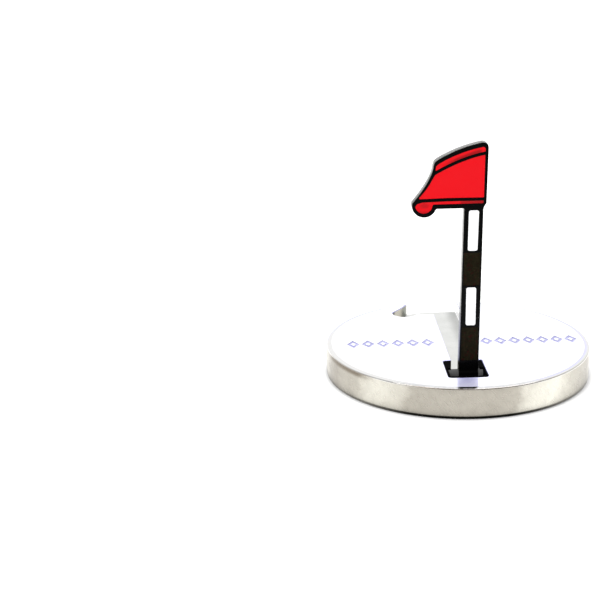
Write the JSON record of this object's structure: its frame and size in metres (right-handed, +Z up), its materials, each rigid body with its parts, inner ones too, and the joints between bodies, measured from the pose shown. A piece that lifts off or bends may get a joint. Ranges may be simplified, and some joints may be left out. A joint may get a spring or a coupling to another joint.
{
  "type": "golf ball marker coin with flip-up flag",
  "caption": "Round metal ball-marker coin with a hinged enamelled golf flag that folds into a flag-shaped pocket, and an enamelled medallion on the other face.",
  "frame": {"origin": "centre of the coin's underside, in the plane of the lip round the medallion", "axes": "+Z up out of the pocket face, +Y from the hinge towards the pocket's open end, +X to the right when looking along +Y"},
  "size_m": [0.04, 0.04, 0.0381],
  "materials": {
    "polished_nickel": "polished nickel plate, satin on the edge",
    "struck_nickel": "struck and plated, bright raised lines",
    "flag_nickel": "satin nickel plate",
    "pin_steel": "drawn steel, dull grey",
    "bracket_black": "moulded black, satin",
    "black_lacquer": "glossy black lacquer",
    "red_enamel": "glossy soft enamel",
    "white_enamel": "glossy soft enamel",
    "dark_enamel": "very dark olive enamel, faintly speckled",
    "charcoal_enamel": "charcoal black enamel, satin",
    "pale_enamel": "pale warm-grey enamel with fine grain",
    "adhesive": "clear-cream pressure-sensitive film"
  },
  "bodies": {
    "coin": {"coin_body": "polished_nickel", "hinge_bracket": "bracket_black", "hinge_pin": "pin_steel", "medallion": "struck_nickel", "adhesive_film": "adhesive", "sector_enamel_1": "charcoal_enamel", "sector_enamel_2": "charcoal_enamel", "sector_enamel_3": "charcoal_enamel", "sector_enamel_4": "charcoal_enamel", "sector_enamel_5": "charcoal_enamel", "sector_enamel_6": "charcoal_enamel", "sector_enamel_7": "charcoal_enamel", "centre_enamel": "pale_enamel", "mast_enamel": "black_lacquer", "pennant_enamel": "red_enamel"},
    "flag": {"flag_plate": "flag_nickel", "flag_linework": "black_lacquer", "flag_enamel_top": "red_enamel", "flag_enamel_middle": "red_enamel", "flag_enamel_bottom": "red_enamel", "pole_enamel_upper_white": "white_enamel", "pole_enamel_lower_white": "white_enamel", "pole_enamel_upper_dark": "dark_enamel", "pole_enamel_lower_dark": "dark_enamel"}
  },
  "joints": [
    {"name": "flag_hinge", "type": "hinge", "parent": "coin", "child": "flag", "pos_m": [0, -0.01123, 0.00382], "axis": [-1, 0, 0], "range_deg": [0, 90]}
  ]
}
